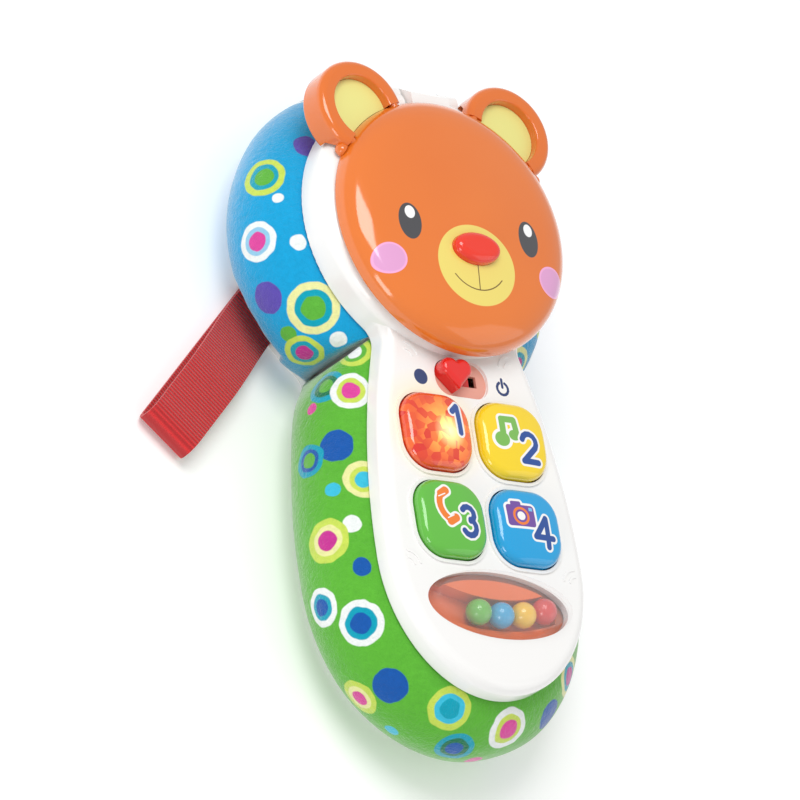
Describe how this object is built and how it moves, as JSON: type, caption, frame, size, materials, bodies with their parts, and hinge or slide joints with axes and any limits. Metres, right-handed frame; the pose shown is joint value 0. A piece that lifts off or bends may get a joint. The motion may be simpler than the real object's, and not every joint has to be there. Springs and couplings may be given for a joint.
{
  "type": "toy cell phone",
  "caption": "Plush-wrapped toy phone with a hinged bear-face flap over a mirror, push keys, a sliding heart switch, a window of rolling beads and a webbing strap",
  "frame": {"origin": "middle of the flat back plate's resting plane, under the middle of the case's width; Y is 0 at a point between the keys and the face, 86 mm from the bead end", "axes": "+X to the right when the keys are read, +Y from the bead end to the head end, +Z out of the face; the phone lies on its back on Z = 0"},
  "size_m": [0.1328, 0.2006, 0.0597],
  "materials": {
    "white_case": "glossy white moulded plastic",
    "mirror": "mirror film on plastic",
    "pin_steel": "plain steel pin",
    "dome_rubber": "grey silicone rubber",
    "board_green": "printed circuit board",
    "lamp_clear": "clear lamp",
    "switch_black": "black plastic",
    "tray_orange": "satin orange plastic",
    "window_clear": "clear plastic",
    "speaker_frame": "pressed steel frame with a paper cone",
    "screw_steel": "zinc-plated steel",
    "cell_steel": "plain printed cell jacket",
    "contact_steel": "nickel-plated spring steel",
    "lead_insulation": "insulated wire",
    "plush_blue": "short-pile printed plush",
    "plush_green": "short-pile printed plush",
    "bumper_rubber": "soft rubber pad",
    "orange_shell": "glossy orange moulded plastic",
    "ear_yellow": "satin pale yellow plastic",
    "nose_red": "glossy red plastic",
    "magnet": "plated magnet",
    "key_clear_red": "clear red plastic",
    "key_yellow": "glossy yellow plastic",
    "key_green": "glossy green plastic",
    "key_blue": "glossy sky-blue plastic",
    "heart_red": "glossy red plastic",
    "bead_green": "glossy plastic bead",
    "bead_blue": "glossy plastic bead",
    "bead_yellow": "glossy plastic bead",
    "bead_red": "glossy plastic bead",
    "strap_red": "ribbed webbing"
  },
  "bodies": {
    "case": {"front_housing": "white_case", "rear_housing": "white_case", "mirror": "mirror", "hinge_pin": "pin_steel", "strap_bar": "pin_steel", "keypad_membrane": "dome_rubber", "key_dome_1": "dome_rubber", "key_dome_2": "dome_rubber", "key_dome_3": "dome_rubber", "key_dome_4": "dome_rubber", "main_board": "board_green", "key_light": "lamp_clear", "slide_switch": "switch_black", "reed_switch": "switch_black", "bead_tray": "tray_orange", "bead_window": "window_clear", "speaker": "speaker_frame", "speaker_clamp": "white_case", "clamp_screws": "screw_steel", "case_screws": "screw_steel", "board_screws": "screw_steel", "door_screw": "screw_steel", "battery_left": "cell_steel", "battery_right": "cell_steel", "battery_contacts": "contact_steel", "battery_door": "white_case", "battery_leads": "lead_insulation", "speaker_leads": "lead_insulation", "plush_head": "plush_blue", "plush_body": "plush_green", "flap_bumpers": "bumper_rubber"},
    "flap": {"face_shell": "orange_shell", "face_backing": "white_case", "ear_left": "orange_shell", "ear_right": "orange_shell", "ear_insert_left": "ear_yellow", "ear_insert_right": "ear_yellow", "nose": "nose_red", "flap_magnet": "magnet"},
    "key_one": {"key_1": "key_clear_red"},
    "key_two": {"key_2": "key_yellow"},
    "key_three": {"key_3": "key_green"},
    "key_four": {"key_4": "key_blue"},
    "heart": {"heart_slider": "heart_red", "switch_lever": "switch_black"},
    "bead_a": {"bead_green": "bead_green"},
    "bead_b": {"bead_blue": "bead_blue"},
    "bead_c": {"bead_yellow": "bead_yellow"},
    "bead_d": {"bead_red": "bead_red"},
    "strap_loop": {"strap": "strap_red"}
  },
  "joints": [
    {"name": "flap_hinge", "type": "hinge", "parent": "case", "child": "flap", "pos_m": [0, 0.0916, 0.0416], "axis": [-1, 0, 0], "range_deg": [0, 105]},
    {"name": "key_1_press", "type": "slide", "parent": "case", "child": "key_one", "axis": [0, 0, 1], "range_m": [-0.0018, 0], "stiffness_N_per_m": 400, "springref_m": 0.0005, "deforming": ["key_dome_1"]},
    {"name": "key_2_press", "type": "slide", "parent": "case", "child": "key_two", "axis": [0, 0, 1], "range_m": [-0.0018, 0], "stiffness_N_per_m": 400, "springref_m": 0.0005, "deforming": ["key_dome_2"]},
    {"name": "key_3_press", "type": "slide", "parent": "case", "child": "key_three", "axis": [0, 0, 1], "range_m": [-0.0018, 0], "stiffness_N_per_m": 400, "springref_m": 0.0005, "deforming": ["key_dome_3"]},
    {"name": "key_4_press", "type": "slide", "parent": "case", "child": "key_four", "axis": [0, 0, 1], "range_m": [-0.0018, 0], "stiffness_N_per_m": 400, "springref_m": 0.0005, "deforming": ["key_dome_4"]},
    {"name": "heart_slide", "type": "slide", "parent": "case", "child": "heart", "axis": [1, 0, 0], "range_m": [0, 0.007]},
    {"name": "bead_green_roll", "type": "hinge", "parent": "case", "child": "bead_a", "pos_m": [0, -0.0049, 0], "axis": [0, 0, 1], "range_deg": [-11.7, 0]},
    {"name": "bead_blue_roll", "type": "hinge", "parent": "case", "child": "bead_b", "pos_m": [0, -0.0049, 0], "axis": [0, 0, 1], "range_deg": [-11.7, 0]},
    {"name": "bead_yellow_roll", "type": "hinge", "parent": "case", "child": "bead_c", "pos_m": [0, -0.0049, 0], "axis": [0, 0, 1], "range_deg": [-11.7, 0]},
    {"name": "bead_red_roll", "type": "hinge", "parent": "case", "child": "bead_d", "pos_m": [0, -0.0049, 0], "axis": [0, 0, 1], "range_deg": [-11.7, 0]},
    {"name": "strap_swing", "type": "hinge", "parent": "case", "child": "strap_loop", "pos_m": [-0.0305, 0.0446, 0.00265], "axis": [-0.7314, 0.682, 0], "range_deg": [0, 12]}
  ],
  "couplings": [
    {"joint": "bead_blue_roll", "follows": "bead_green_roll", "ratio": 1},
    {"joint": "bead_yellow_roll", "follows": "bead_green_roll", "ratio": 1},
    {"joint": "bead_red_roll", "follows": "bead_green_roll", "ratio": 1}
  ]
}
